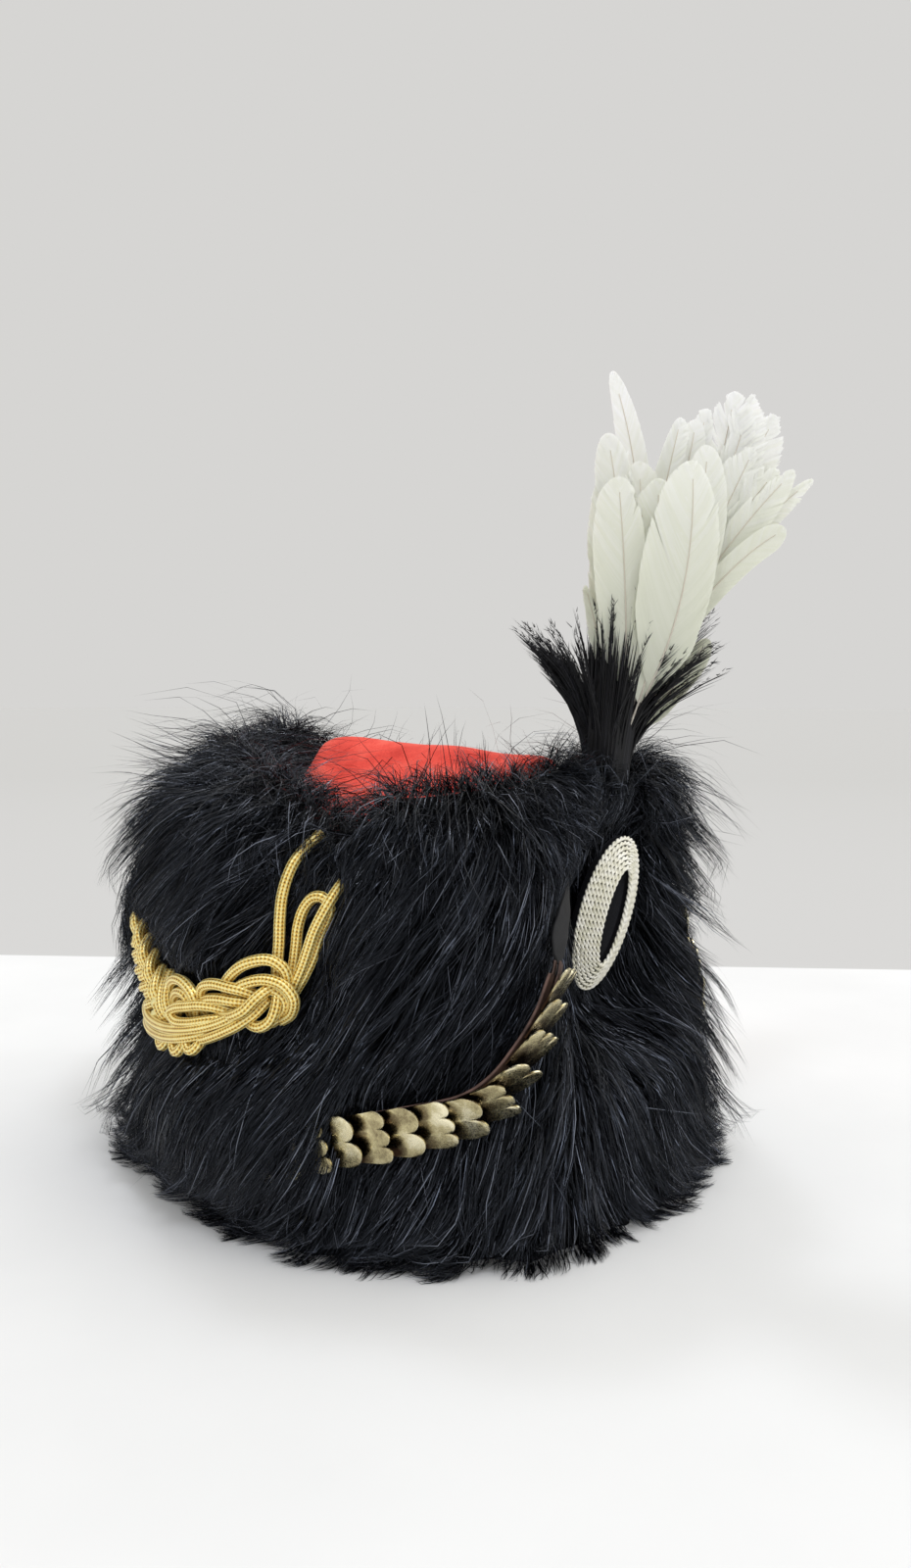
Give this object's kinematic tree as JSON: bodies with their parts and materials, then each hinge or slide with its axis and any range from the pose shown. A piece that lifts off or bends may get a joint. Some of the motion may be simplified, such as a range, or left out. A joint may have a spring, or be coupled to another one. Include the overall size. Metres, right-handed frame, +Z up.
{
  "type": "busby",
  "caption": "Fur busby with a red bag, white over black plume, oval cord cockade, brass chin scales and a plaited gold cord.",
  "frame": {"origin": "middle of the hat's whole box, plume included, on the surface that it stands on", "axes": "+Z up, the front of the hat faces -Y, the wearer's left is +X"},
  "size_m": [0.2974, 0.3594, 0.3855],
  "materials": {
    "cap_shell": "stiff blackened cap shell",
    "black_fur": "long glossy black fur with dense underfur",
    "red_cloth": "fulled scarlet cloth, matt",
    "steel": "hidden wire post",
    "white_feather": "white goose feathers",
    "black_feather": "stripped black feathers",
    "black_velvet": "velvet pile",
    "silver_cord": "twisted silver thread cord, slightly aged",
    "brass": "old brass with brown patina and rubbed edges",
    "brown_leather": "worn brown leather edge",
    "black_leather": "soft blackened leather",
    "gold_cord": "braided gold thread over a cotton core"
  },
  "bodies": {
    "root": {"cap_body": "cap_shell", "fur": "black_fur", "bag": "red_cloth", "plume_stem": "steel", "plume_white": "white_feather", "plume_base": "black_feather", "cockade_centre": "black_velvet", "cockade_cord": "silver_cord", "chin_leather_right": "brown_leather", "chin_scale_right_01": "brass", "chin_scale_right_02": "brass", "chin_scale_right_03": "brass", "chin_scale_right_04": "brass", "chin_scale_right_05": "brass", "chin_scale_right_06": "brass", "chin_scale_right_07": "brass", "chin_scale_right_08": "brass", "chin_scale_right_09": "brass", "chin_scale_right_10": "brass", "chin_scale_right_11": "brass", "chin_scale_right_12": "brass", "chin_scale_right_13": "brass", "chin_scale_right_14": "brass", "chin_leather_left": "brown_leather", "chin_scale_left_01": "brass", "chin_scale_left_02": "brass", "chin_scale_left_03": "brass", "chin_scale_left_04": "brass", "chin_scale_left_05": "brass", "chin_scale_left_06": "brass", "chin_scale_left_07": "brass", "chin_scale_left_08": "brass", "chin_scale_left_09": "brass", "chin_scale_left_10": "brass", "chin_scale_left_11": "brass", "chin_scale_left_12": "brass", "chin_scale_left_13": "brass", "chin_scale_left_14": "brass", "front_strap": "black_leather", "festoon_plait": "gold_cord", "festoon_knot_right": "gold_cord", "festoon_knot_back": "gold_cord", "cord_riser_right": "gold_cord", "cord_bight_right": "gold_cord", "cord_tail_right": "gold_cord", "cord_riser_back": "gold_cord"}
  },
  "joints": []
}
